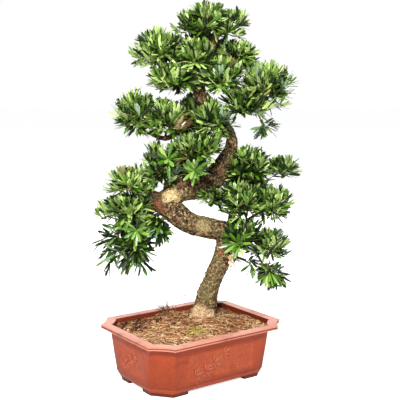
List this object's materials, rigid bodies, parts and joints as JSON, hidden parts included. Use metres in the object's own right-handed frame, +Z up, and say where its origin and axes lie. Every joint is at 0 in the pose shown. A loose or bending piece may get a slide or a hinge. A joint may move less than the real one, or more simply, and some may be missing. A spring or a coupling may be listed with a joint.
{
  "type": "podocarpus bonsai in a planter",
  "caption": "Podocarpus bonsai with a zigzag trunk and leafy pads, growing in an eight-sided footed planter filled with soil.",
  "frame": {"origin": "on the surface that the planter stands on, under the middle of the whole plant's box", "axes": "+Z up along the plant's height, +X along the planter's long side, -Y out of the planter's front"},
  "size_m": [0.4778, 0.4286, 0.9379],
  "materials": {
    "pot": "satin",
    "soil": "matte",
    "bark": "matte",
    "leaf": "satin"
  },
  "bodies": {
    "root": {"pot": "pot", "soil": "soil", "trunk_lower": "bark", "trunk_cross": "bark", "trunk_rise": "bark", "trunk_top": "bark", "bough_high_left": "bark", "bough_shoulder": "bark", "bough_right_pad": "bark", "bough_right_pad_low": "bark", "bough_right_drop": "bark", "bough_mid_left": "bark", "bough_mid_left_fork": "bark", "bough_mid_low": "bark", "bough_knee_back": "bark", "bough_low_left_mid": "bark", "bough_low_left_top": "bark", "bough_low_left_drop": "bark", "bough_low_left_back": "bark", "bough_right_tip": "bark", "bough_right_low": "bark", "bough_right_low_tip": "bark", "bough_right_back": "bark", "bough_right_fall": "bark", "bough_right_fall_tip": "bark", "leaves_apex": "leaf", "leaves_apex_left": "leaf", "leaves_apex_right": "leaf", "leaves_high_left": "leaf", "leaves_high_left_low": "leaf", "leaves_crown_front": "leaf", "leaves_crown_right": "leaf", "leaves_crown_back": "leaf", "leaves_shoulder": "leaf", "leaves_right_pad": "leaf", "leaves_right_pad_low": "leaf", "leaves_right_drop": "leaf", "leaves_mid_left_tip": "leaf", "leaves_mid_left": "leaf", "leaves_mid_front": "leaf", "leaves_mid_back": "leaf", "leaves_mid_low": "leaf", "leaves_left_shelf": "leaf", "leaves_knee_back": "leaf", "leaves_knee_sprig": "leaf", "leaves_low_left_top": "leaf", "leaves_low_left_mid": "leaf", "leaves_low_left_drop": "leaf", "leaves_low_left_back": "leaf", "leaves_knee_low": "leaf", "leaves_right_mid": "leaf", "leaves_right_tip": "leaf", "leaves_right_low_in": "leaf", "leaves_right_low": "leaf", "leaves_right_low_tip": "leaf", "leaves_right_back": "leaf", "leaves_bend_front": "leaf", "leaves_bend_drop": "leaf", "leaves_right_fall": "leaf", "leaves_right_fall_tip": "leaf"}
  },
  "joints": []
}
